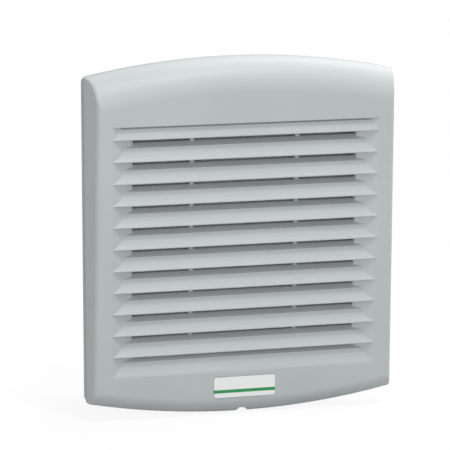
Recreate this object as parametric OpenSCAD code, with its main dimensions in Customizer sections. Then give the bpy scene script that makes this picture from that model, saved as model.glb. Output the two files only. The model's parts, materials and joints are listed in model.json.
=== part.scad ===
// Cabinet filter fan: louvred snap-on cover, filter mat, base frame and compact axial fan.
// X is to the right, Y goes into the cabinet and Z is up.
// The origin is the centre of the panel cut-out, on the outer face of the panel.

/* [Front cover] */
// Width of the cover at its rear edge
cover_w = 150; // [146:1:180]
// Height of the cover at its middle
cover_h = 170.5; // [164:0.5:200]
// How far the top and bottom edges bow out at the middle
edge_bow = 8; // [5:0.5:11]
// Distance from the panel to the front face at mid height
face_depth = 17.5; // [17:0.5:24]
// Lean of the front face, which makes the cover thicker at the top
face_tilt = 2.63; // [1:0.1:3]
// Draft of the two side walls
side_draft = 12; // [10:1:12]
// Draft of the bottom wall, measured from the front face
bottom_draft = 2; // [2:0.5:5]
// Radius of the roll along the top edge
top_roll = 14; // [12:0.5:14]
// Radius of the roll along the bottom edge
bottom_roll = 8; // [7:0.5:9]
// Radius along the front edges of the side walls
side_round = 3; // [2:0.5:3]
// Radius where the side walls meet the rolled top and bottom
rim_round = 1.4; // [1:0.1:1.6]
// Wall of the cover
cover_wall = 2.5; // [2:0.1:3]
// Gap between the cover and the frame it seats on
seat_gap = 0.3; // [0.2:0.05:0.5]

/* [Louvres] */
// Number of open slots
slot_count = 11; // [8:1:11]
// Distance from one lip to the next
louvre_pitch = 10.4; // [9.5:0.1:10.5]
// Width of the louvre field on the front face
louvre_w = 128.8; // [116:0.5:131]
// Height of the highest open lip above the middle of the face
top_lip = 49.7; // [45:0.1:54]
// Depth of each slat's ridge behind the face
ridge_depth = 2.15; // [1.5:0.05:2.5]
// Drop from a lip to the ridge of the slat below it
ridge_drop = 4; // [3:0.1:4.5]
// Depth of the slats' rear edges behind the face
wing_depth = 5.6; // [5.2:0.05:6]
// Rise of the slats' rear wings, going in
wing_rise = 30; // [26:1:31]
// Wall of a slat
slat_t = 1.6; // [1.2:0.1:1.8]
// Flat on the front of each lip
lip_flat = 0.5; // [0.3:0.1:0.8]
// Slope of the slot ends from the face
end_slope = 21; // [15:1:25]
// Inset of the straight slot ends from the sides of the field
end_inset = 10.2; // [8:0.1:11]
// Depth of the wall round the slot ends
end_depth = 8; // [7.6:0.1:8.5]
// Height of the closed scoop above the highest lip
scoop_h = 6.1; // [5:0.1:7]
// Depth of the scoop's ridge
scoop_depth = 1.1; // [0.8:0.1:1.4]
// Height of the sill below the lowest lip
sill_h = 9.5; // [8:0.1:10]
// Depth of the sill's ridge
sill_depth = 1.6; // [1.2:0.1:2]
// Drop from the lowest lip to the sill's ridge
sill_drop = 2.7; // [2:0.1:3.5]
// Distance of the stiffening ribs from the middle
rib_x = 25.5; // [15:0.5:40]
// Thickness of the stiffening ribs
rib_t = 2; // [1.2:0.1:3]

/* [Badge and pry notch] */
// Width of the badge plate
badge_w = 30; // [20:1:40]
// Height of the badge plate
badge_h = 10; // [6:0.5:10.5]
// Thickness of the badge plate
badge_t = 0.8; // [0.6:0.1:1.2]
// How far the plate is let into the face
badge_inlay = 0.5; // [0.3:0.1:0.5]
// Height of the plate's centre above the bottom edge
badge_up = 13.45; // [12.5:0.05:14]
// Width of the pry notch at the bottom edge
notch_w = 6.5; // [5:0.5:9]
// Width of the pry notch at its top
notch_top_w = 4; // [2:0.5:4.5]
// Height of the pry notch
notch_h = 2.6; // [1.5:0.1:3]

/* [Base frame] */
// Clearance between the frame and the panel cut-out, on each side
cutout_gap = 0.3; // [0.2:0.1:0.8]
// Wall of the box that passes through the cut-out
box_wall = 2.2; // [2:0.1:2.6]
// Thickness of the flange that lies on the panel
flange_t = 4; // [3.5:0.1:5]
// Width of the rim that presses on the panel
rim_w = 2.5; // [2:0.1:3.5]
// Length of the wall that locates the cover
spigot_h = 4.5; // [3:0.5:5]
// Thickness of the wall that locates the cover
spigot_t = 1.6; // [1.2:0.1:2]
// Thickness of the pressed gasket
gasket_t = 1.5; // [1:0.1:1.8]
// Clearance round the gasket
gasket_gap = 1; // [0.5:0.1:1.5]
// Thickness of the plate that carries the fan
plate_t = 4.5; // [3.5:0.5:6]
// How far the box reaches back over the fan
fan_grip = 13; // [12:0.5:16]

/* [Panel clips] */
// Thickness of the panel that the clips grip
panel_t = 1.5; // [1:0.1:2.5]
// Width of a clip
clip_w = 14; // [10:0.5:20]
// Height of the clips above and below the middle
clip_z = 32; // [25:1:40]
// Thickness of the spring leaf
leaf_t = 0.8; // [0.6:0.1:1]
// Lean of the relaxed leaf
leaf_lean = 11.5; // [9:0.5:13]
// Radius of the bead at the leaf's root
bead_r = 0.7; // [0.6:0.05:0.75]
// Length of the foot bent in at the leaf's end
foot_len = 1.2; // [0.8:0.1:1.4]

/* [Filter] */
// Depth of the mat's rear face behind the panel
filter_seat = 3.5; // [3:0.5:6]
// Thickness of the mat
mat_t = 8; // [6:0.5:8]
// Clearance round the mat
mat_gap = 0.5; // [0.3:0.1:0.9]
// Thickness of the support grid
grid_t = 3; // [2:0.5:4]
// Width of the grid's bars
grid_bar = 1.6; // [1.2:0.1:2.4]
// Number of openings across the grid
grid_cells = 9; // [6:1:11]

/* [Fan] */
// Side of the square fan housing
fan_size = 119; // [117:0.5:120]
// Depth of the fan housing
fan_depth = 38; // [38:0.5:42]
// Distance of the fan's fixing holes from its edges
hole_inset = 7.25; // [7:0.05:8]
// Radius of the fan's fixing holes
hole_r = 2.15; // [2.1:0.05:2.4]
// Clearance between the fan and the box, on each side
fan_gap = 0.5; // [0.3:0.1:0.9]
// Thickness of the housing's two flanges
fan_flange_t = 4.5; // [4:0.1:5]
// Radius of the housing's corners
fan_corner = 5; // [3:0.5:6]
// Wall of the housing where the air passage comes nearest to its sides
bore_wall = 2.5; // [2.1:0.1:3]
// Clearance at the blade tips
tip_gap = 1; // [0.8:0.1:1.5]
// Number of blades
blade_count = 7; // [5:1:7]
// Thickness of a blade
blade_t = 1.6; // [1.2:0.1:2.2]
// Radius of the blades' curve
blade_bend = 40; // [36:1:60]
// Outer radius of the impeller's hub
hub_r = 32; // [31:0.5:34]
// Radius of the motor's mounting plate
motor_plate_r = 31; // [30:0.5:33]
// Width of the four struts
strut_w = 7; // [5:0.5:9]

/* [Motor] */
// Radius of the shaft
shaft_r = 2.5; // [2:0.1:3]
// Running clearance of the shaft in its bearings
shaft_gap = 0.03; // [0.02:0.01:0.05]
// Outer radius of the bearings
bearing_r = 6.5; // [6:0.1:7]
// Width of a bearing
bearing_w = 4; // [3:0.5:4]
// Wall of the bearing tube
tube_wall = 2; // [1.5:0.1:2.2]
// Radius of the stator's stack
stator_r = 22; // [21.5:0.1:22.5]
// Depth of the fan that the stator's stack doesn't use
motor_ends = 24; // [24:0.5:26]
// Number of winding slots
coil_count = 8; // [6:1:8]
// Radius of a winding slot
coil_slot_r = 3.2; // [2.6:0.1:3.3]
// Air gap between stator and rotor
air_gap = 0.4; // [0.3:0.05:0.6]
// Outer radius of the rotor's steel cup
cup_r = 29; // [28.6:0.1:29.5]
// Wall of the rotor's steel cup
cup_wall = 2; // [1.5:0.1:2.4]

/* [Guard and screws] */
// Radius of the guard's ring wire
ring_wire_r = 0.9; // [0.7:0.05:1.1]
// Radius of the guard's arm wire
arm_wire_r = 1.1; // [0.9:0.05:1.3]
// Distance between the guard's rings
ring_pitch = 9; // [7:0.5:9]
// Number of guard rings
ring_count = 6; // [4:1:6]
// Radius of the screws' shanks
screw_r = 2; // [1.8:0.05:2]
// Radius of the screws' heads
screw_head_r = 3.8; // [3.4:0.1:4.2]
// Height of the screws' heads
screw_head_h = 2.4; // [1.8:0.1:2.6]

/* [Hidden] */
$fn = 64;
far = 60;
fine = 360;
fit = 0.05;
corner_lift = 0.02;

// Cover: radius of the bowed edges, and where the rear edge's middle lies seen from the face
arc_r = (pow(cover_w / 2, 2) + pow(edge_bow, 2)) / (2 * edge_bow);
cover_back = flange_t + seat_gap;
top_back = face_point(-cover_back, cover_h / 2);
bottom_back = face_point(-cover_back, -cover_h / 2);
top_centre = top_back[1] - arc_r;
bottom_centre = bottom_back[1] + arc_r;

// Cover: the line where a side wall meets the face, and the slope of the faces that meet it
side_x = cover_w / 2 - tan(side_draft) * (face_depth - cover_back);
side_tilt = atan(tan(face_tilt) / cos(side_draft));
side_flare = 0.22;
rim_flare = 0.3;
corner_flare = 0.5;
flare_turn = 1.5 * rim_round;
rim_lift = 0.01;
rim_in = rim_setback(rim_round, rim_flare);
side_span = cover_w;
bottom_r = arc_r - bottom_back[0] * tan(bottom_draft);
side_top = top_centre + sqrt(pow(arc_r, 2) - pow(side_x, 2)) - top_roll;
side_bottom = bottom_centre - sqrt(pow(bottom_r, 2) - pow(side_x, 2)) + bottom_roll;

// Louvres: heights along the face, and the sides of the field
badge_z = badge_up - cover_h / 2;
field_top = top_lip + scoop_h;
bottom_lip = top_lip - (slot_count - 1) * louvre_pitch;
field_bottom = bottom_lip - sill_h;
end_knee = end_inset * tan(end_slope);
rib_back = mat_t - filter_seat + 0.5;
join = 1;

// Frame and fan: places along the depth
bore_r = fan_size / 2 - bore_wall;
hole_pitch = fan_size - 2 * hole_inset;
box_in = fan_size / 2 + fan_gap;
box_out = box_in + box_wall;
grid_back = filter_seat + grid_t;
fan_front = grid_back + plate_t;
fan_rear = fan_front + fan_depth;
box_rear = fan_front + fan_grip;
spigot_inset = cover_wall + 0.4 + spigot_h * tan(side_draft);

// Clips: the bead sits in the wall, the leaf leans out towards the panel
bead_x = box_in + box_wall / 2;
bead_y = box_rear - 3;
leaf_len = (bead_y - panel_t - 0.8) / cos(leaf_lean);
pocket_floor = bead_x - leaf_t / 2 - 0.3;
pocket_side = 0.4;

// Motor: places along the depth, from the mounting plate forwards
motor_plate_t = 4;
motor_front = fan_rear - 0.5 - motor_plate_t;
cup_rear = motor_front - 1.5;
hub_front = fan_front + 3;
hub_cap_t = 2;
cup_front = hub_front + hub_cap_t;
tube_r = bearing_r + tube_wall;
tube_front = cup_front + cup_wall + 4;
rear_bearing_y = motor_front - 1 - bearing_w;
front_bearing_y = tube_front + 0.3;
stator_rear = motor_front - 4.5;
stator_len = fan_depth - motor_ends;
stator_front = stator_rear - stator_len;
liner_t = 0.8;
coil_in = tube_r + 2;
coil_out = stator_r - 1.5;
coil_pitch_r = (coil_in + coil_out) / 2 + 0.5;
front_turns = 4.2;
rear_turns = 3.2;
washer_y = rear_bearing_y + bearing_w + 0.3;
washer_t = 0.3;
ring_y = washer_y + washer_t + 0.1;
ring_t = 0.7;
shaft_rear = ring_y + ring_t + 1.1;
cap_t = 1.7;

// Terminals: a pad on the housing's corner, seen along the diagonal
pad_in = bore_r + 1;
pad_t = 8;
pad_out = pad_in + pad_t;
pad_w = 18;
pad_y = fan_front + fan_flange_t + 8.5;
pad_len = 16;
carrier_t = 7;
tab_w = 2.8;
tab_t = 0.8;
tab_reach = 5;
tab_pitch = 8;

// Guard: the arms lie on the fan, the rings on the arms
arm_y = fan_rear + arm_wire_r + fit;
ring_plane = arm_y + arm_wire_r + ring_wire_r - 0.2;
guard_inner_r = bore_r - (ring_count - 1) * ring_pitch;
eye_r = hole_pitch / 2 * sqrt(2);

// How far a round starts behind the edge that it takes off
function rim_setback(round_r, flare) = round_r * (sqrt(1 + pow(flare, 2)) - flare);

// Depth behind the front face and height along it, of a point at x = 0
function face_point(y, z) =
    [(y + face_depth) * cos(face_tilt) + z * sin(face_tilt),
     z * cos(face_tilt) - (y + face_depth) * sin(face_tilt)];

// Frame of the front face: Y goes in behind the face and Z runs up along it
module on_face() {
    translate([0, -face_depth, 0]) rotate([face_tilt, 0, 0]) children();
}

// A section of depth and height, drawn out along X
module along_x(length) {
    rotate([90, 0, 90]) translate([0, 0, -length / 2]) linear_extrude(length) children();
}

// A front view drawn out from one depth to another
module between(y0, y1) {
    translate([0, y1, 0]) rotate([90, 0, 0]) linear_extrude(y1 - y0) children();
}

// A round bar along the fan's axis
module bar(r, y0, y1) {
    translate([0, y0, 0]) rotate([-90, 0, 0]) cylinder(h = y1 - y0, r = r);
}

// A ring along the fan's axis
module ring(r_out, r_in, y0, y1) {
    difference() {
        bar(r_out, y0, y1);
        bar(r_in, y0 - 1, y1 + 1);
    }
}

// The four corners of the fan's fixing holes
module at_holes() {
    for (x = [-1, 1], z = [-1, 1])
        translate([x * hole_pitch / 2, 0, z * hole_pitch / 2]) children();
}

module rounded(w, h, r) {
    square([w - 2 * r, h], center = true);
    square([w, h - 2 * r], center = true);
    for (x = [-1, 1], y = [-1, 1])
        translate([x * (w / 2 - r), y * (h / 2 - r)]) circle(r);
}

// Outline of the flange, drawn in from the cover's rear edge
module outline(inset, corner) {
    r = arc_r - inset;
    half_w = cover_w / 2 - inset;
    centre = cover_h / 2 - arc_r;
    inner_x = half_w - corner;
    inner_z = centre + sqrt(pow(r - corner, 2) - pow(inner_x, 2));
    lean = asin(inner_x / (r - corner));
    corner_x = inner_x + corner_lift;
    corner_z = inner_z + corner_lift;
    difference() {
        intersection() {
            square([2 * half_w, cover_h], center = true);
            translate([0, centre]) circle(r, $fn = fine);
            translate([0, -centre]) circle(r, $fn = fine);
        }
        for (mx = [0, 1], mz = [0, 1])
            mirror([mx, 0]) mirror([0, mz]) translate([corner_x, corner_z]) difference() {
                polygon([[0, 0], [2 * corner, 0], 2 * [corner, corner], 2 * corner * [sin(lean), cos(lean)]]);
                circle(corner);
            }
    }
}

// A disc with a rolled front edge, in the frame of the face
module rolled_disc(r, back, draft, roll) {
    front_r = r - back * tan(draft);
    roll_r = front_r + roll * (sin(draft) - 1) / cos(draft);
    touch = [roll_r + roll * cos(draft), roll - roll * sin(draft)];
    rotate([-90, 0, 0]) rotate_extrude($fn = fine) {
        polygon([[0, 0], [roll_r, 0], [roll_r, roll], touch, [front_r + far * tan(draft), far], [0, far]]);
        translate([roll_r, roll]) circle(roll);
    }
}

// Section of a side wall and the round along its front edge
module rim_section(deep, span, round_r, flare) {
    slope = sqrt(1 + pow(flare, 2));
    start = rim_setback(round_r, flare);
    touch = [round_r * (flare / slope - 1), start - round_r / slope];
    polygon([[0, start], [0, deep], [-span, deep], [-span, -flare * span], touch, [-round_r, start]]);
    translate([-round_r, start]) circle(round_r);
}

// The rim carried round a roll of the top or bottom edge
module rim_corner(roll) {
    slope = sqrt(1 + pow(rim_flare, 2));
    touch = [roll - rim_in + rim_round / slope, rim_round * (rim_flare / slope - 1)];
    rotate([0, 90, 0]) rotate_extrude() {
        polygon([[0, 0], [roll - rim_in, 0], [roll - rim_in, -rim_round], touch,
            [roll + rim_flare * flare_turn, -flare_turn],
            [roll + corner_flare * side_span, -side_span], [0, -side_span]]);
        translate([roll - rim_in, -rim_round]) circle(rim_round);
    }
}

// Everything inside the right-hand wall and its rim
module side_form() {
    middle = (side_top + side_bottom) / 2;
    translate([side_x, -face_depth, 0]) rotate([0, 0, -side_draft]) rotate([side_tilt, 0, 0]) intersection() {
        translate([rim_lift, 0, -cover_h]) linear_extrude(2 * cover_h)
            rim_section(far + join, side_span + join, side_round, side_flare);
        union() {
            translate([0, 0, side_bottom]) linear_extrude(side_top - side_bottom)
                rim_section(far, side_span, rim_round, rim_flare);
            translate([0, top_roll, side_top]) rim_corner(top_roll);
            translate([0, bottom_roll, side_bottom]) rim_corner(bottom_roll);
            translate([0, top_roll, 0]) rotate([-90, 0, 0]) linear_extrude(far)
                translate([0, -side_top - top_roll])
                    rim_section(side_top + top_roll - middle, side_span, rim_round, rim_flare);
            translate([0, bottom_roll, 0]) mirror([0, 0, 1]) rotate([-90, 0, 0]) linear_extrude(far)
                translate([0, side_bottom - bottom_roll])
                    rim_section(middle - side_bottom + bottom_roll, side_span, rim_round, rim_flare);
        }
    }
}

// Everything in front of a plane parallel to the panel
module in_front(depth) {
    translate([-cover_w, -depth - far, -cover_h]) cube([2 * cover_w, far, 2 * cover_h]);
}

// The bowed top and bottom edges with their rolls
module bowed_form() {
    intersection() {
        on_face() translate([0, 0, top_centre]) rolled_disc(arc_r, top_back[0], 0, top_roll);
        on_face() translate([0, 0, bottom_centre])
            rolled_disc(arc_r, bottom_back[0], bottom_draft, bottom_roll);
        in_front(cover_back);
    }
}

// Outer form of the cover, solid
module cover_form() {
    intersection() {
        bowed_form();
        intersection() {
            side_form();
            mirror([1, 0, 0]) side_form();
            in_front(cover_back);
        }
    }
}

// The hollow behind the cover's wall
module cover_cavity() {
    half_w = cover_w / 2 - cover_wall / cos(side_draft);
    front_w = half_w - tan(side_draft) * (far - cover_back);
    intersection() {
        on_face() translate([0, cover_wall, top_centre])
            rolled_disc(arc_r - cover_wall, top_back[0] - cover_wall, 0, top_roll - cover_wall);
        on_face() translate([0, cover_wall, bottom_centre])
            rolled_disc(arc_r - cover_wall, bottom_back[0] - cover_wall, bottom_draft,
                bottom_roll - cover_wall);
        translate([0, 0, -cover_h]) linear_extrude(2 * cover_h)
            polygon([[-half_w, 0], [-half_w, -cover_back], [-front_w, -far], [front_w, -far],
                [half_w, -cover_back], [half_w, 0]]);
    }
}

// Plan of the louvre field: sloped ends at the face, straight ends behind
module field_plan(grow, front) {
    half_w = louvre_w / 2 + grow;
    slot_w = half_w - end_inset;
    polygon([[-half_w, front], [-half_w, 0], [-slot_w, end_knee], [-slot_w, end_depth + grow],
        [slot_w, end_depth + grow], [slot_w, end_knee], [half_w, 0], [half_w, front]]);
}

// The window that the louvres close
module louvre_window() {
    on_face() intersection() {
        translate([0, 0, field_bottom]) linear_extrude(far + field_top - field_bottom) field_plan(0, -join);
        along_x(cover_w) polygon([[-join, field_bottom], [far, field_bottom],
            [far, field_top + far * tan(wing_rise)], [0, field_top], [-join, field_top]]);
    }
}

// The folded walls at the ends of the slots
module louvre_ends() {
    half_w = louvre_w / 2;
    slot_w = half_w - end_inset;
    lift = slat_t / cos(end_slope);
    on_face() for (m = [0, 1]) mirror([m, 0, 0])
        translate([0, 0, field_bottom - join]) linear_extrude(field_top - field_bottom + 2 * join)
            polygon([[half_w, 0], [slot_w, end_knee], [slot_w, end_depth], [slot_w + slat_t, end_depth],
                [slot_w + slat_t, lift + (end_inset - slat_t) * tan(end_slope)],
                [half_w + join, lift - join * tan(end_slope)], [half_w + join, 0]]);
}

// Section of a slat with its lip at the origin: a hollow front, and a wing that rises inwards
module slat_section(ridge, rise, foot) {
    front_r = (pow(ridge, 2) + pow(rise - foot, 2)) / (2 * ridge);
    drop = slat_t / cos(wing_rise);
    rear = rise + (wing_depth - ridge) * tan(wing_rise);
    intersection() {
        translate([ridge - front_r, rise]) difference() {
            circle(front_r + slat_t, $fn = fine);
            circle(front_r, $fn = fine);
        }
        translate([0, -join]) square([ridge + slat_t, rise + join]);
    }
    polygon([[ridge, rise], [wing_depth, rear], [wing_depth, rear - drop],
        [ridge + slat_t, rise + slat_t * tan(wing_rise) - drop], [ridge, rise - drop]]);
}

// A slat cut off square under its lip
module louvre_section() {
    intersection() {
        slat_section(ridge_depth, louvre_pitch - ridge_drop, lip_flat);
        square([wing_depth, 2 * louvre_pitch]);
    }
}

// The closed slat at the top of the field
module scoop_section() {
    rise = scoop_h - 1;
    front_r = (pow(scoop_depth, 2) + pow(rise - lip_flat, 2)) / (2 * scoop_depth);
    wall = cover_wall - 0.4;
    intersection() {
        translate([scoop_depth - front_r, rise]) difference() {
            circle(front_r + slat_t, $fn = fine);
            circle(front_r, $fn = fine);
        }
        square([scoop_depth + slat_t, rise]);
    }
    polygon([[scoop_depth, rise], [wall, rise + (wall - scoop_depth) * tan(wing_rise)],
        [wall, scoop_h + 2 * join], [wall + slat_t, scoop_h + 2 * join], [wall + slat_t, rise - slat_t],
        [scoop_depth, rise - slat_t]]);
}

// All the slats, let into the slot ends
module louvres() {
    on_face() intersection() {
        translate([0, 0, field_bottom - 2 * join])
            linear_extrude(field_top - field_bottom + 5 * join) field_plan(join, 0);
        union() {
            translate([0, 0, top_lip]) along_x(cover_w) scoop_section();
            for (i = [1 : slot_count - 1])
                translate([0, 0, top_lip - i * louvre_pitch]) along_x(cover_w) louvre_section();
            translate([0, 0, field_bottom]) along_x(cover_w)
                slat_section(sill_depth, sill_h - sill_drop, 0);
        }
    }
}

// Upright ribs that tie the slats together and hold the mat back
module cover_ribs() {
    intersection() {
        on_face() for (x = [-rib_x, rib_x])
            translate([x - rib_t / 2, wing_depth - 0.4, field_bottom])
                cube([rib_t, far, field_top - field_bottom]);
        in_front(rib_back);
    }
}

// Front view of the pry notch in the bottom edge
module notch_view() {
    spread = (notch_w - notch_top_w) / 2 / notch_h;
    low = notch_w / 2 + spread * join;
    polygon([[-low, -join], [low, -join], [notch_top_w / 2, notch_h], [-notch_top_w / 2, notch_h]]);
}

module pry_notch() {
    between(-far, join) translate([0, -cover_h / 2]) notch_view();
}

// A block over the pry notch, in front of the flange
module notch_block(grow) {
    half_w = notch_w / 2 + cover_wall + grow;
    translate([-half_w, -far - flange_t, -cover_h / 2]) cube([2 * half_w, far, notch_h + cover_wall + grow]);
}

// Thicker wall over the pry notch
module notch_pad() {
    intersection() {
        cover_form();
        notch_block(0);
    }
}

module front_cover() {
    color("lightgray") difference() {
        union() {
            difference() {
                cover_form();
                cover_cavity();
                louvre_window();
            }
            louvre_ends();
            louvres();
            cover_ribs();
            notch_pad();
        }
        pry_notch();
        on_face() translate([0, 0, badge_z]) between(-join, badge_inlay)
            rounded(badge_w + 2 * fit, badge_h + 2 * fit, join);
    }
}

module badge_plate() {
    color("white") on_face() translate([0, 0, badge_z]) between(badge_inlay - badge_t, badge_inlay)
        rounded(badge_w, badge_h, join);
}

// Room for one clip in the right-hand wall: a socket for the bead and a pocket for the leaf
module clip_room() {
    width = clip_w + 2 * pocket_side;
    translate([bead_x, bead_y, -width / 2]) cylinder(h = width, r = bead_r + fit);
    translate([pocket_floor, panel_t, -width / 2]) cube([box_wall, bead_y - bead_r / 2 - panel_t, width]);
}

// The same thing at the four clip places
module at_clips() {
    for (m = [0, 1], z = [-clip_z, clip_z]) mirror([m, 0, 0]) translate([0, 0, z]) children();
}

module base_frame() {
    color("silver") difference() {
        union() {
            between(-flange_t, 0) outline(0, side_round);
            between(-flange_t - spigot_h, -flange_t + join) difference() {
                outline(spigot_inset, side_round);
                outline(spigot_inset + spigot_t, side_round);
            }
            between(-flange_t, box_rear) rounded(2 * box_out, 2 * box_out, fan_corner);
        }
        difference() {
            between(-gasket_t, join) outline(rim_w, side_round);
            between(-far, far) rounded(2 * box_out, 2 * box_out, fan_corner);
        }
        between(-far, grid_back) square(2 * box_in, center = true);
        between(fan_front, far) square(2 * box_in, center = true);
        bar(bore_r, 0, far);
        at_holes() bar(screw_r + fit, 0, far);
        at_clips() clip_room();
        pry_notch();
        notch_block(cover_wall);
    }
}

module flange_gasket() {
    inner = box_out + gasket_gap;
    color("dimgray") between(-gasket_t, 0) difference() {
        outline(rim_w + gasket_gap, side_round);
        rounded(2 * inner, 2 * inner, fan_corner);
    }
}

module filter_mat() {
    size = 2 * (box_in - mat_gap);
    color("gainsboro") between(filter_seat - mat_t, filter_seat) square(size, center = true);
}

module support_grid() {
    size = 2 * (box_in - 0.2);
    border = 4;
    cell = (size - 2 * border - (grid_cells - 1) * grid_bar) / grid_cells;
    step = cell + grid_bar;
    first = border - size / 2;
    color("silver") between(filter_seat, grid_back) difference() {
        square(size, center = true);
        for (i = [0 : grid_cells - 1], j = [0 : grid_cells - 1])
            translate([first + i * step, first + j * step]) square(cell);
    }
}

// A spring leaf with a bead at its root and a foot at its free end, on the right-hand wall
module panel_clip() {
    color("lightsteelblue") translate([bead_x, bead_y, -clip_w / 2]) {
        cylinder(h = clip_w, r = bead_r);
        rotate([0, 0, leaf_lean]) {
            translate([-leaf_t / 2, -leaf_len, 0]) cube([leaf_t, leaf_len, clip_w]);
            translate([leaf_t / 2 - foot_len, -leaf_len, 0]) cube([foot_len, leaf_t, clip_w]);
        }
    }
}

module clip_left_upper() {
    mirror([1, 0, 0]) translate([0, 0, clip_z]) panel_clip();
}

module clip_left_lower() {
    mirror([1, 0, 0]) translate([0, 0, -clip_z]) panel_clip();
}

module clip_right_upper() {
    translate([0, 0, clip_z]) panel_clip();
}

module clip_right_lower() {
    translate([0, 0, -clip_z]) panel_clip();
}

// Along the diagonal to the corner with the terminals
module on_diagonal() {
    rotate([0, 45, 0]) children();
}

module fan_housing() {
    mouth = 3;
    shell_r = fan_size / 2 - 0.3;
    strut_in = motor_plate_r - 3;
    strut_step = 0.3;
    color("darkgray") {
        difference() {
            union() {
                between(fan_front, fan_front + fan_flange_t) rounded(fan_size, fan_size, fan_corner);
                between(fan_rear - fan_flange_t, fan_rear) rounded(fan_size, fan_size, fan_corner);
                bar(shell_r, fan_front, fan_rear);
                on_diagonal() translate([pad_in, pad_y, -pad_w / 2]) cube([pad_out - pad_in, pad_len, pad_w]);
            }
            bar(bore_r, fan_front - 1, fan_rear + 1);
            translate([0, fan_front, 0]) rotate([-90, 0, 0])
                cylinder(h = mouth, r1 = bore_r + 1.2, r2 = bore_r);
            translate([0, fan_rear - mouth, 0]) rotate([-90, 0, 0])
                cylinder(h = mouth, r1 = bore_r, r2 = bore_r + 1.2);
            at_holes() bar(hole_r, fan_front - 1, fan_rear + 1);
        }
        difference() {
            union() {
                bar(motor_plate_r, motor_front, motor_front + motor_plate_t);
                bar(tube_r, tube_front, motor_front + 1);
                for (a = [45 : 90 : 315]) rotate([0, a, 0])
                    translate([strut_in, motor_front + strut_step, -strut_w / 2])
                        cube([bore_r + 1 - strut_in, motor_plate_t - 2 * strut_step, strut_w]);
            }
            bar(bearing_r, tube_front - 1, fan_rear);
        }
    }
}

// One blade: a curved plate between the hub and the tip circle, shallow in front and steep behind
module blade() {
    front = 5;
    depth = 22;
    half_chord = 14;
    chord = sqrt(pow(depth, 2) + pow(2 * half_chord, 2));
    offset = sqrt(pow(blade_bend, 2) - pow(chord / 2, 2));
    centre = [-offset * depth / chord, front + depth / 2 + offset * 2 * half_chord / chord];
    intersection() {
        translate([0, centre[1], centre[0]]) rotate([0, 90, 0]) difference() {
            cylinder(h = bore_r, r = blade_bend + blade_t / 2, $fn = fine);
            cylinder(h = bore_r, r = blade_bend - blade_t / 2, $fn = fine);
        }
        translate([0, front, -half_chord - 1]) cube([bore_r, depth, 2 * half_chord + 2]);
        ring(bore_r - tip_gap, hub_r - 0.6, front - 1, front + depth + 1);
    }
}

module impeller() {
    bell_r = cup_r + fit / 2;
    hub_edge = 0.8;
    color("dimgray") {
        translate([0, hub_front, 0]) rotate([-90, 0, 0]) rotate_extrude()
            polygon([[cup_r / 3, 0], [hub_r - hub_edge, 0], [hub_r, hub_edge], [hub_r, cup_rear - hub_front],
                [bell_r, cup_rear - hub_front], [bell_r, hub_cap_t], [cup_r / 3, hub_cap_t]]);
        for (i = [0 : blade_count - 1])
            rotate([0, i * 360 / blade_count, 0]) translate([0, fan_front, 0]) blade();
    }
}

module rotor_cup() {
    color("slategray") difference() {
        union() {
            bar(cup_r, cup_front, cup_front + cup_wall);
            ring(cup_r, cup_r - cup_wall, cup_front, cup_rear);
            bar(2 * shaft_r, cup_front, tube_front - 0.4);
        }
        bar(shaft_r + fit / 2, 0, far);
    }
}

module rotor_cage() {
    color("gray") ring(cup_r - cup_wall - fit / 2, stator_r + air_gap, stator_front - 1, stator_rear + 1);
}

module shaft() {
    groove_r = shaft_r - 0.4;
    color("silver") {
        bar(shaft_r, cup_front, ring_y);
        bar(groove_r, ring_y - 1, shaft_rear);
        bar(shaft_r, ring_y + ring_t, shaft_rear);
    }
}

module retaining_ring() {
    inner = shaft_r - 0.4 + fit;
    color("dimgray") difference() {
        ring(shaft_r + 1.6, inner, ring_y + fit, ring_y + ring_t - fit);
        translate([0, ring_y - 1, -inner * 0.8]) cube([far, ring_t + 2, inner * 1.6]);
    }
}

module preload_washer() {
    color("silver") ring(shaft_r + 2, shaft_r + fit, washer_y, washer_y + washer_t);
}

module bearing(y) {
    shield = 0.4;
    color("silver") difference() {
        ring(bearing_r - fit / 2, shaft_r + shaft_gap, y, y + bearing_w);
        for (face = [y - 1, y + bearing_w - shield])
            ring(bearing_r - 1.2, shaft_r + 1, face, face + 1 + (face < y ? shield : 0));
    }
}

module front_bearing() {
    bearing(front_bearing_y);
}

module rear_bearing() {
    bearing(rear_bearing_y);
}

module bearing_cap() {
    color("black") bar(bearing_r - fit / 2, motor_front + motor_plate_t - cap_t, motor_front + motor_plate_t);
}

// The slots that hold the windings, open to the air gap
module coil_slots(r, mouth) {
    for (i = [0 : coil_count - 1]) rotate([0, i * 360 / coil_count, 0]) {
        translate([coil_pitch_r, 0, 0]) bar(r, 0, far);
        translate([coil_pitch_r, 0, -mouth / 2]) cube([far, far, mouth]);
    }
}

module stator_core() {
    mouth = 1.6;
    color("steelblue") difference() {
        ring(stator_r, tube_r + fit / 2, stator_front, stator_rear);
        coil_slots(coil_slot_r, mouth);
    }
}

module slot_liners() {
    mouth = 1.6;
    color("ivory") for (y = [stator_front - liner_t, stator_rear]) difference() {
        ring(stator_r - 0.5, tube_r + fit / 2, y, y + liner_t);
        coil_slots(coil_slot_r, mouth);
    }
}

module stator_windings() {
    bead = 1.2;
    front = stator_front - liner_t - front_turns;
    rear = stator_rear + liner_t;
    color("chocolate") {
        for (end = [[front, front_turns], [rear, rear_turns]])
            translate([0, end[0], 0]) rotate([-90, 0, 0]) rotate_extrude()
                translate([(coil_in + coil_out) / 2, end[1] / 2]) rounded(coil_out - coil_in, end[1], bead);
        for (i = [0 : coil_count - 1]) rotate([0, i * 360 / coil_count, 0])
            translate([coil_pitch_r, 0, 0]) bar(coil_slot_r - 0.3, front + front_turns / 2, rear + 1);
    }
}

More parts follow.
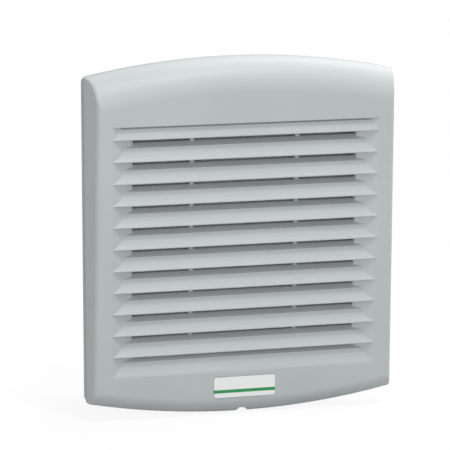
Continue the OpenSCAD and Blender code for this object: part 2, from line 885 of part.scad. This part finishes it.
module terminal_blade(grow) {
    translate([pad_out + 2 - grow, pad_y + pad_len / 2 - tab_w / 2 - grow, -tab_t / 2 - grow])
        cube([carrier_t - 2 + tab_reach + 2 * grow, tab_w + 2 * grow, tab_t + 2 * grow]);
}

module terminal_carrier() {
    color("black") on_diagonal() difference() {
        translate([pad_out, pad_y, -pad_w / 2 + 1]) cube([carrier_t, pad_len, pad_w - 2]);
        for (z = [-tab_pitch / 2, tab_pitch / 2]) translate([0, 0, z]) terminal_blade(fit / 2);
    }
}

module terminal_blades() {
    color("gold") on_diagonal()
        for (z = [-tab_pitch / 2, tab_pitch / 2]) translate([0, 0, z]) terminal_blade(0);
}

// A pan-head screw that points forwards, its head resting at y
module screw(y, length) {
    slot_w = 1.2;
    difference() {
        union() {
            bar(screw_r, y - length, y + 1);
            bar(screw_head_r, y, y + screw_head_h);
        }
        for (a = [45, 135]) rotate([0, a, 0])
            translate([-screw_head_r * 0.6, y + screw_head_h / 2, -slot_w / 2])
                cube([screw_head_r * 1.2, screw_head_h, slot_w]);
    }
}

module fan_screws() {
    head = fan_front + fan_flange_t;
    color("silver") at_holes() screw(head, head - grid_back - 0.5);
}

module finger_guard() {
    color("silver") {
        for (i = [0 : ring_count - 1])
            translate([0, ring_plane, 0]) rotate([-90, 0, 0]) rotate_extrude()
                translate([guard_inner_r + i * ring_pitch, 0]) circle(ring_wire_r, $fn = 24);
        for (a = [45 : 90 : 315]) rotate([0, a, 0]) {
            translate([guard_inner_r, arm_y, 0]) rotate([0, 90, 0])
                cylinder(h = eye_r - screw_r - arm_wire_r - guard_inner_r, r = arm_wire_r, $fn = 24);
            translate([eye_r, arm_y, 0]) rotate([-90, 0, 0]) rotate_extrude()
                translate([screw_r + arm_wire_r + 0.2, 0]) circle(arm_wire_r, $fn = 24);
        }
    }
}

module guard_screws() {
    head = arm_y + arm_wire_r + fit;
    color("silver") at_holes() screw(head, head - fan_rear + fan_flange_t);
}

front_cover();
badge_plate();
base_frame();
flange_gasket();
filter_mat();
support_grid();
clip_left_upper();
clip_left_lower();
clip_right_upper();
clip_right_lower();
fan_housing();
impeller();
rotor_cup();
rotor_cage();
shaft();
retaining_ring();
preload_washer();
front_bearing();
rear_bearing();
bearing_cap();
stator_core();
slot_liners();
stator_windings();
terminal_carrier();
terminal_blades();
fan_screws();
finger_guard();
guard_screws();
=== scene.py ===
import json
import math

import bmesh
import bpy
from mathutils import Matrix, Vector, noise

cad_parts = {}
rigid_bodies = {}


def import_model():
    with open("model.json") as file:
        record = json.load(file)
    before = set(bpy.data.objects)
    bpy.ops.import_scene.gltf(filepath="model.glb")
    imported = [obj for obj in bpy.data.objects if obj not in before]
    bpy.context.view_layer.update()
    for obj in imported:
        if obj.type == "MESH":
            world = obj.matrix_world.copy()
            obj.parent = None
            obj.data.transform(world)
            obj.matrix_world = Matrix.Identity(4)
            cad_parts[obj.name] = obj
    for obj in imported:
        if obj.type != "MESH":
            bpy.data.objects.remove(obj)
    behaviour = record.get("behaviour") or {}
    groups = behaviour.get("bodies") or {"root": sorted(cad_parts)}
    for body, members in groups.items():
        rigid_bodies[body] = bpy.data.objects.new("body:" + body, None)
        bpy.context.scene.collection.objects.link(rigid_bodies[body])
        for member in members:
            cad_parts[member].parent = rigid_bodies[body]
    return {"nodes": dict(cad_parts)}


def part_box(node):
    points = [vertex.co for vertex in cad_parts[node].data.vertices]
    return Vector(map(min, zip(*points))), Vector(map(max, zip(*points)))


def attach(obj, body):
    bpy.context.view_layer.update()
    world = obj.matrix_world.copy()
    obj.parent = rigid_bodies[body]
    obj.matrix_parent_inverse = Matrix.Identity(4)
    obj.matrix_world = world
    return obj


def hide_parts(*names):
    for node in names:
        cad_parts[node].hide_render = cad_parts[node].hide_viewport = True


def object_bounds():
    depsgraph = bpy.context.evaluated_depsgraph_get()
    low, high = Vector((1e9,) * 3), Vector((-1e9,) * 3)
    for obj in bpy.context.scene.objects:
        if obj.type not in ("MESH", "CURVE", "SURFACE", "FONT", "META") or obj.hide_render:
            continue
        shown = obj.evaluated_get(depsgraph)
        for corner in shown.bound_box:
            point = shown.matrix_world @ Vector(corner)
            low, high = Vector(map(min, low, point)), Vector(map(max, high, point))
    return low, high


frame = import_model()
cadLow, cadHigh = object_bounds()
nodes = frame["nodes"]
for spare in [o for o in bpy.data.objects if o.name in ("Cube", "Light", "Camera")]:  # the start scene
    bpy.data.objects.remove(spare)
print("frame loaded:", len(nodes), "nodes")


def newFinish(name):
    finish = bpy.data.materials.new(name)
    finish.use_nodes = True
    tree = finish.node_tree
    shader = tree.nodes["Principled BSDF"]
    coords = tree.nodes.new("ShaderNodeTexCoord").outputs["Object"]
    return finish, tree, shader, coords


def stretched(tree, coords, scale):  # the same coordinates, drawn out along one axis
    mapping = tree.nodes.new("ShaderNodeMapping")
    mapping.inputs["Scale"].default_value = scale
    tree.links.new(coords, mapping.inputs["Vector"])
    return mapping.outputs["Vector"]


def cloudy(tree, coords, scale, detail=2.0, warp=0.0):
    node = tree.nodes.new("ShaderNodeTexNoise")
    node.inputs["Scale"].default_value = scale
    node.inputs["Detail"].default_value = detail
    node.inputs["Distortion"].default_value = warp
    tree.links.new(coords, node.inputs["Vector"])
    return node.outputs["Fac"]


def blendColours(tree, amount, first, last, low=0.35, high=0.65):
    ramp = tree.nodes.new("ShaderNodeValToRGB")
    ramp.color_ramp.elements[0].position = low
    ramp.color_ramp.elements[0].color = (*first, 1.0)
    ramp.color_ramp.elements[1].position = high
    ramp.color_ramp.elements[1].color = (*last, 1.0)
    tree.links.new(amount, ramp.inputs["Fac"])
    return ramp.outputs["Color"]


def spread(tree, amount, low, high, first=0.0, last=1.0, smooth=False):
    node = tree.nodes.new("ShaderNodeMapRange")
    node.interpolation_type = "SMOOTHSTEP" if smooth else "LINEAR"
    node.inputs["From Min"].default_value = first
    node.inputs["From Max"].default_value = last
    node.inputs["To Min"].default_value = low
    node.inputs["To Max"].default_value = high
    tree.links.new(amount, node.inputs["Value"])
    return node.outputs["Result"]


def raised(tree, height, depth, strength=1.0, normal=None):  # bump of a given depth in metres
    bump = tree.nodes.new("ShaderNodeBump")
    bump.inputs["Strength"].default_value = strength
    bump.inputs["Distance"].default_value = depth
    tree.links.new(height, bump.inputs["Height"])
    if normal is not None:
        tree.links.new(normal, bump.inputs["Normal"])
    return bump.outputs["Normal"]


def worked(tree, operation, first, second=0.0):  # one sum on a socket, with a socket or a number
    node = tree.nodes.new("ShaderNodeMath")
    node.operation = operation
    tree.links.new(first, node.inputs[0])
    if isinstance(second, float):
        node.inputs[1].default_value = second
    else:
        tree.links.new(second, node.inputs[1])
    return node.outputs["Value"]


def along(tree, coords, axis):  # one coordinate by itself
    split = tree.nodes.new("ShaderNodeSeparateXYZ")
    tree.links.new(coords, split.inputs[0])
    return split.outputs[axis]


def softWidth(tree, coords, edge, s):  # the edge radius, wider along the sill's foot and out at the sides
    fromFoot = worked(tree, "ABSOLUTE", worked(tree, "SUBTRACT", along(tree, coords, "Z"), s["footHeight"]))
    fromMiddle = worked(tree, "ABSOLUTE", along(tree, coords, "X"))
    foot = spread(tree, fromFoot, s["footRound"], edge, last=s["footReach"])
    side = spread(tree, fromMiddle, edge, s["sideRound"], *s["sideZone"])
    return worked(tree, "MAXIMUM", foot, side)


def softEdges(tree, coords, s):  # edges rounded over in the shading
    node = tree.nodes.new("ShaderNodeBevel")
    node.samples = s["edgeSamples"]
    node.inputs["Radius"].default_value = s["edge"]
    if "soft" in s:
        tree.links.new(softWidth(tree, coords, s["edge"], s["soft"]), node.inputs["Radius"])
    return node.outputs["Normal"]


def tinted(colour, factor):
    return tuple(min(1.0, c * factor) for c in colour)


def dress(finish, *names):
    for name in names:
        mesh = nodes[name].data
        mesh.materials.clear()
        mesh.materials.append(finish)


def mouldedPlastic(name, s):
    finish, tree, shader, coords = newFinish(name)
    mottle = cloudy(tree, coords, s["mottle"], detail=3.0)
    grain = cloudy(tree, coords, s["grain"])
    darker, lighter = tinted(s["colour"], 1 - s["vary"]), tinted(s["colour"], 1 + s["vary"])
    tree.links.new(blendColours(tree, mottle, darker, lighter), shader.inputs["Base Color"])
    tree.links.new(spread(tree, grain, *s["rough"]), shader.inputs["Roughness"])
    edges = softEdges(tree, coords, s) if "edge" in s else None
    tree.links.new(raised(tree, grain, s["depth"], strength=0.6, normal=edges), shader.inputs["Normal"])
    shader.inputs["Specular IOR Level"].default_value = s["gloss"]
    return finish


patchTints = {"dull": 0.9, "bright": 1.06}  # shares of a metal's colour


def drawnMetal(name, s):  # fine scratches along the axis that the stretch shrinks, and dull patches
    finish, tree, shader, coords = newFinish(name)
    lines = cloudy(tree, stretched(tree, coords, s["stretch"]), s["grain"], detail=4.0)
    patches = cloudy(tree, coords, s["patch"])
    dull, bright = tinted(s["colour"], patchTints["dull"]), tinted(s["colour"], patchTints["bright"])
    tree.links.new(blendColours(tree, patches, dull, bright), shader.inputs["Base Color"])
    tree.links.new(spread(tree, lines, *s["rough"]), shader.inputs["Roughness"])
    tree.links.new(raised(tree, lines, s["depth"], strength=0.5), shader.inputs["Normal"])
    shader.inputs["Metallic"].default_value = 1.0
    return finish


def bandedMetal(name, s):  # bands across one axis, for a stack of sheets or turns of wire
    finish, tree, shader, coords = newFinish(name)
    wave = tree.nodes.new("ShaderNodeTexWave")
    wave.bands_direction = s["across"]
    wave.inputs["Scale"].default_value = s["bands"]
    wave.inputs["Distortion"].default_value = s["wander"]
    wave.inputs["Detail"].default_value = s["detail"]
    wave.inputs["Detail Scale"].default_value = s["detailScale"]
    tree.links.new(coords, wave.inputs["Vector"])
    bands = wave.outputs["Fac"]
    colour = blendColours(tree, bands, s["dark"], s["colour"], low=0.1, high=0.6)
    tree.links.new(colour, shader.inputs["Base Color"])
    tree.links.new(spread(tree, bands, *s["rough"]), shader.inputs["Roughness"])
    tree.links.new(raised(tree, bands, s["depth"], strength=0.8), shader.inputs["Normal"])
    shader.inputs["Metallic"].default_value = s["metal"]
    return finish


# cover, frame and grid: one moulding colour, slightly darker behind the cover
# the cover's edges are shaded softer at the sill's foot and beside the side walls
coverLook = {"colour": (0.466, 0.497, 0.499), "vary": 0.018, "mottle": 22.0, "grain": 2600.0,
             "rough": (0.42, 0.54), "depth": 0.00003, "gloss": 0.35, "edge": 0.00035, "edgeSamples": 10,
             "soft": {"footHeight": -0.0637, "footReach": 0.004, "footRound": 0.003,
                      "sideZone": (0.0655, 0.0670), "sideRound": 0.0024}}
dress(mouldedPlastic("coverPlastic", coverLook), "front_cover")
frameLook = {"colour": (0.42, 0.44, 0.455), "vary": 0.02, "mottle": 26.0, "grain": 2400.0,
             "rough": (0.45, 0.58), "depth": 0.00003, "gloss": 0.35, "edge": 0.0003, "edgeSamples": 6}
dress(mouldedPlastic("framePlastic", frameLook), "base_frame")
gridLook = dict(frameLook, colour=(0.40, 0.42, 0.43), edge=0.0002)
dress(mouldedPlastic("gridPlastic", gridLook), "support_grid")
print("cover, frame and grid dressed")


# bare badge plate: white with one thin green line low down
badgeLook = {"white": (0.83, 0.85, 0.84), "green": (0.01, 0.27, 0.075), "line": (0.0022, 0.0038),
             "rough": (0.2, 0.3), "grain": 1800.0, "edge": 0.00015, "edgeSamples": 6}


def badgeFinish(s):
    finish, tree, shader, coords = newFinish("badgePlastic")
    low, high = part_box("badge_plate")
    ramp = tree.nodes.new("ShaderNodeValToRGB")
    ramp.color_ramp.interpolation = "CONSTANT"
    height = high.z - low.z
    stops = [(0.0, s["white"]), (s["line"][0] / height, s["green"]), (s["line"][1] / height, s["white"])]
    ramp.color_ramp.elements.remove(ramp.color_ramp.elements[1])
    for place, colour in stops:
        stop = ramp.color_ramp.elements[0] if place == 0.0 else ramp.color_ramp.elements.new(place)
        stop.color = (*colour, 1.0)
    share = spread(tree, along(tree, coords, "Z"), 0.0, 1.0, first=low.z, last=high.z)
    tree.links.new(share, ramp.inputs["Fac"])
    tree.links.new(ramp.outputs["Color"], shader.inputs["Base Color"])
    grain = cloudy(tree, coords, s["grain"])
    tree.links.new(spread(tree, grain, *s["rough"]), shader.inputs["Roughness"])
    tree.links.new(softEdges(tree, coords, s), shader.inputs["Normal"])
    return finish


dress(badgeFinish(badgeLook), "badge_plate")
print("badge plate dressed")


# foam gasket with open pores, each pore darkened in its middle as painted shade
gasketLook = {"colour": (0.016, 0.016, 0.017), "hollow": 0.4, "skin": 1.8, "pore": 1300.0,
              "depth": 0.00025, "rough": 0.95}


def foamFinish(s):
    finish, tree, shader, coords = newFinish("gasketFoam")
    cells = tree.nodes.new("ShaderNodeTexVoronoi")
    cells.inputs["Scale"].default_value = s["pore"]
    tree.links.new(coords, cells.inputs["Vector"])
    pores = cells.outputs["Distance"]
    # painted shade: the foam colour darkened towards each pore's middle, lightened between the pores
    hollow, skin = tinted(s["colour"], s["hollow"]), tinted(s["colour"], s["skin"])
    tree.links.new(blendColours(tree, pores, hollow, skin, low=0.1, high=0.6), shader.inputs["Base Color"])
    tree.links.new(raised(tree, pores, s["depth"]), shader.inputs["Normal"])
    shader.inputs["Roughness"].default_value = s["rough"]
    return finish


dress(foamFinish(gasketLook), "flange_gasket")
print("gasket dressed")


# fan: painted casting, moulded impeller and small parts
castingLook = {"colour": (0.012, 0.012, 0.013), "vary": 0.15, "mottle": 60.0, "grain": 1500.0,
               "rough": (0.38, 0.56), "depth": 0.00006, "gloss": 0.5, "edge": 0.0004, "edgeSamples": 6}
dress(mouldedPlastic("castingPaint", castingLook), "fan_housing")
impellerLook = {"colour": (0.010, 0.010, 0.011), "vary": 0.1, "mottle": 50.0, "grain": 2200.0,
                "rough": (0.32, 0.44), "depth": 0.00003, "gloss": 0.5, "edge": 0.00025, "edgeSamples": 6}
dress(mouldedPlastic("impellerPlastic", impellerLook), "impeller")
capLook = dict(impellerLook, rough=(0.5, 0.65))
dress(mouldedPlastic("capPlastic", capLook), "bearing_cap", "terminal_carrier")
linerLook = {"colour": (0.70, 0.63, 0.42), "vary": 0.04, "mottle": 80.0, "grain": 1800.0,
             "rough": (0.4, 0.5), "depth": 0.00003, "gloss": 0.4}
dress(mouldedPlastic("linerPlastic", linerLook), "slot_liners")


# metal parts: plated wire guard, screws, spring clips, rotor, shaft, terminals and stator
guardLook = {"colour": (0.62, 0.62, 0.63), "stretch": (1.0, 1.0, 1.0), "grain": 900.0, "patch": 60.0,
             "rough": (0.16, 0.3), "depth": 0.00002}
dress(drawnMetal("guardWire", guardLook), "finger_guard")
screwLook = {"colour": (0.58, 0.57, 0.53), "stretch": (1.0, 1.0, 1.0), "grain": 1500.0, "patch": 300.0,
             "rough": (0.22, 0.42), "depth": 0.00002}
dress(drawnMetal("screwZinc", screwLook), "fan_screws", "guard_screws")
clipLook = {"colour": (0.56, 0.57, 0.58), "stretch": (1.0, 0.06, 1.0), "grain": 2600.0, "patch": 120.0,
            "rough": (0.24, 0.42), "depth": 0.00002}
dress(drawnMetal("clipSteel", clipLook), "clip_left_upper", "clip_left_lower",
      "clip_right_upper", "clip_right_lower")
cupLook = {"colour": (0.30, 0.31, 0.32), "stretch": (1.0, 0.1, 1.0), "grain": 1800.0, "patch": 70.0,
           "rough": (0.3, 0.5), "depth": 0.00003}
dress(drawnMetal("cupSteel", cupLook), "rotor_cup")
cageLook = dict(cupLook, colour=(0.55, 0.55, 0.56))
dress(drawnMetal("cageAlloy", cageLook), "rotor_cage")
shaftLook = {"colour": (0.60, 0.60, 0.61), "stretch": (0.1, 1.0, 0.1), "grain": 3500.0, "patch": 90.0,
             "rough": (0.12, 0.25), "depth": 0.00001}
dress(drawnMetal("shaftSteel", shaftLook), "shaft", "front_bearing", "rear_bearing")
ringLook = dict(shaftLook, colour=(0.25, 0.25, 0.26), rough=(0.3, 0.45))
dress(drawnMetal("ringSteel", ringLook), "retaining_ring", "preload_washer")
brassLook = {"colour": (0.68, 0.50, 0.22), "stretch": (1.0, 0.1, 1.0), "grain": 2400.0, "patch": 200.0,
             "rough": (0.22, 0.4), "depth": 0.00001}
dress(drawnMetal("terminalBrass", brassLook), "terminal_blades")
coreLook = {"across": "Y", "bands": 320.0, "wander": 0.0, "detail": 1.0, "detailScale": 2.0,
            "dark": (0.07, 0.07, 0.075), "colour": (0.28, 0.29, 0.31), "rough": (0.6, 0.35),
            "depth": 0.0001, "metal": 1.0}
dress(bandedMetal("coreSheets", coreLook), "stator_core")
copperLook = {"across": "Y", "bands": 330.0, "wander": 1.2, "detail": 1.0, "detailScale": 2.0,
              "dark": (0.16, 0.05, 0.016), "colour": (0.56, 0.22, 0.075), "rough": (0.5, 0.25),
              "depth": 0.0003, "metal": 0.85}
dress(bandedMetal("windingCopper", copperLook), "stator_windings")
print("fan and motor dressed")


# filter mat: a springy fleece block, rounded over at its edges
matLook = {"cuts": 44, "crown": 0.00025, "fluff": 0.00035, "waves": 260.0, "layer": 0.3,
           "pull": 0.0012, "rimPower": 12, "facePower": 3, "roundFrom": 0.5, "sideShare": 0.35,
           "frontFrom": 0.99, "rimFrom": 0.995,
           "white": (0.74, 0.75, 0.745), "shade": (0.50, 0.515, 0.52), "fibre": 1500.0, "warp": 2.5,
           "lengthways": (1.0, 0.5, 0.25), "crossways": (0.25, 0.5, 1.0),
           "depth": 0.0006, "rough": 0.95, "sheen": 0.3}


def fleeceFinish(s):
    finish, tree, shader, coords = newFinish("fleece")
    ways = (stretched(tree, coords, s["lengthways"]), stretched(tree, coords, s["crossways"]))
    threads, crossed = (cloudy(tree, way, s["fibre"], detail=3.0, warp=s["warp"]) for way in ways)
    web = worked(tree, "MAXIMUM", threads, crossed)
    colour = blendColours(tree, web, s["shade"], s["white"], low=0.4, high=0.66)
    tree.links.new(colour, shader.inputs["Base Color"])
    tree.links.new(raised(tree, web, s["depth"]), shader.inputs["Normal"])
    shader.inputs["Roughness"].default_value = s["rough"]
    shader.inputs["Sheen Weight"].default_value = s["sheen"]
    return finish


def makeMat(s):
    low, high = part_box("filter_mat")
    middle, half = (low + high) / 2, (high - low) / 2
    shape = bmesh.new()
    bmesh.ops.create_cube(shape, size=2.0)  # from -1 to 1 on each axis
    bmesh.ops.subdivide_edges(shape, edges=shape.edges[:], cuts=s["cuts"], use_grid_fill=True)
    for v in shape.verts:
        u, w, t = v.co.x, v.co.y, v.co.z
        rim = max(abs(u), abs(t))
        soft = s["pull"] * abs(w) ** s["facePower"] * rim ** s["rimPower"]  # edges rounded over
        if abs(w) <= s["roundFrom"]:
            soft = 0.0
        side = s["pull"] * s["sideShare"] * w * w
        swell = s["crown"] * (1 - u * u) * (1 - t * t) * min(w, 0.0)  # the front bulges a little
        x = u * (half.x - side)
        z = t * (half.z - side)
        y = w * half.y - math.copysign(soft, w) + swell
        if w < -s["frontFrom"] and rim < s["rimFrom"]:  # fluff on the front face
            spot = Vector((u * half.x, s["layer"] * w * half.y, t * half.z))
            y += s["fluff"] * noise.noise(spot * s["waves"])
        v.co = (middle.x + x, middle.y + y, middle.z + z)
    mesh = bpy.data.meshes.new("filterFleece")
    shape.to_mesh(mesh)
    shape.free()
    for face in mesh.polygons:
        face.use_smooth = True
    mesh.materials.append(fleeceFinish(s))
    mat = bpy.data.objects.new("filterFleece", mesh)
    bpy.context.scene.collection.objects.link(mat)
    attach(mat, "housing")
    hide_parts("filter_mat")


makeMat(matLook)
print("filter mat made")


# floor and world: white to the camera, plain soft light on the part
stageLook = {"floorSize": 6.0, "gap": 0.0002, "floorPaint": (0.96, 0.96, 0.96), "shadowShare": 0.10,
             "shadowEnds": (0.10, 0.42), "bounce": (0.38, 0.38, 0.38), "ambient": 0.46,
             "white": (1.0, 1.0, 1.0)}


def seenDirectly(tree):  # camera, mirror and glass rays
    path = tree.nodes.new("ShaderNodeLightPath")
    total = path.outputs["Is Camera Ray"]
    for name in ("Is Glossy Ray", "Is Transmission Ray"):
        total = worked(tree, "MAXIMUM", total, path.outputs[name])
    return total


def plainShader(tree, kind, colour, strength=None):
    node = tree.nodes.new(kind)
    node.inputs["Color"].default_value = (*colour, 1.0)
    if strength is not None:
        node.inputs["Strength"].default_value = strength
    return node.outputs[0]


def mixed(tree, amount, first, last):  # the last shader where the amount is 1
    node = tree.nodes.new("ShaderNodeMixShader")
    tree.links.new(amount, node.inputs["Fac"])
    tree.links.new(first, node.inputs[1])
    tree.links.new(last, node.inputs[2])
    return node.outputs[0]


def makeFloor(s):
    h = s["floorSize"] / 2
    mesh = bpy.data.meshes.new("floor")
    mesh.from_pydata([(-h, -h, 0), (h, -h, 0), (h, h, 0), (-h, h, 0)], [], [(0, 1, 2, 3)])
    floor = bpy.data.objects.new("floor", mesh)
    floor.location.z = cadLow.z - s["gap"]
    bpy.context.scene.collection.objects.link(floor)
    paint = bpy.data.materials.new("floorPaint")
    paint.use_nodes = True
    tree = paint.node_tree
    tree.nodes.clear()
    out = tree.nodes.new("ShaderNodeOutputMaterial")
    reach = tree.nodes.new("ShaderNodeVectorMath")
    reach.operation = "LENGTH"
    tree.links.new(tree.nodes.new("ShaderNodeTexCoord").outputs["Object"], reach.inputs[0])
    fade = spread(tree, reach.outputs["Value"], 1 - s["shadowShare"], 1.0, *s["shadowEnds"], smooth=True)
    painted = plainShader(tree, "ShaderNodeBsdfDiffuse", s["floorPaint"])
    glow = plainShader(tree, "ShaderNodeEmission", s["white"])
    shown = mixed(tree, fade, painted, glow)  # the shadow runs out to plain white
    hidden = plainShader(tree, "ShaderNodeBsdfDiffuse", s["bounce"])
    tree.links.new(mixed(tree, seenDirectly(tree), hidden, shown), out.inputs["Surface"])
    mesh.materials.append(paint)


def makeWorld(s):
    world = bpy.data.worlds.new("studio")
    world.use_nodes = True
    bpy.context.scene.world = world
    tree = world.node_tree
    tree.nodes.clear()
    out = tree.nodes.new("ShaderNodeOutputWorld")
    shown = plainShader(tree, "ShaderNodeBackground", s["white"])
    lit = plainShader(tree, "ShaderNodeBackground", s["white"], strength=s["ambient"])
    tree.links.new(mixed(tree, seenDirectly(tree), lit, shown), out.inputs["Surface"])


makeFloor(stageLook)
makeWorld(stageLook)
bpy.context.scene.view_settings.view_transform = "Standard"
print("stage set")


# soft boxes aimed at the part: turn and rise in degrees, width in metres and power in watts
lampLook = {"away": 1.1, "boxes": {"key": (16.0, 67.0, 0.15, 5.2), "front": (-20.0, 9.0, 0.6, 4.8),
                                   "back": (128.0, 48.0, 1.0, 7.6), "right": (98.0, 8.0, 1.2, 5.0)}}


def makeLamp(name, s, turn, rise, width, power):
    a, e = math.radians(turn), math.radians(rise)
    place = s["away"] * Vector((math.sin(a) * math.cos(e), -math.cos(a) * math.cos(e), math.sin(e)))
    data = bpy.data.lights.new(name, "AREA")
    data.shape = "DISK"
    data.size = width
    data.energy = power
    lamp = bpy.data.objects.new(name, data)
    lamp.location = place
    lamp.rotation_euler = (-place).to_track_quat("-Z", "Y").to_euler()
    bpy.context.scene.collection.objects.link(lamp)


for boxName, box in lampLook["boxes"].items():
    makeLamp(boxName, lampLook, *box)
print("lamps placed")


# camera left of the middle and a little above, with a long lens: focal length and image are in pixels
cameraLook = {"turn": 15.054, "drop": 10.828, "away": 1.275, "right": 0.005574, "up": -0.003672,
              "focal": 2678.0, "image": 450.0, "sensor": 36.0}


def makeCamera(s):
    a, e = math.radians(s["turn"]), math.radians(s["drop"])
    ahead = Vector((math.sin(a) * math.cos(e), math.cos(a) * math.cos(e), -math.sin(e)))
    side = Vector((math.cos(a), -math.sin(a), 0.0))
    top = side.cross(ahead)
    data = bpy.data.cameras.new("camera")
    data.sensor_width = s["sensor"]
    data.lens = s["sensor"] * s["focal"] / s["image"]
    camera = bpy.data.objects.new("camera", data)
    place = -side * s["right"] - top * s["up"] - ahead * s["away"]
    camera.matrix_world = Matrix.Translation(place) @ Matrix((side, top, -ahead)).transposed().to_4x4()
    bpy.context.scene.collection.objects.link(camera)
    bpy.context.scene.camera = camera


makeCamera(cameraLook)
print("camera set")
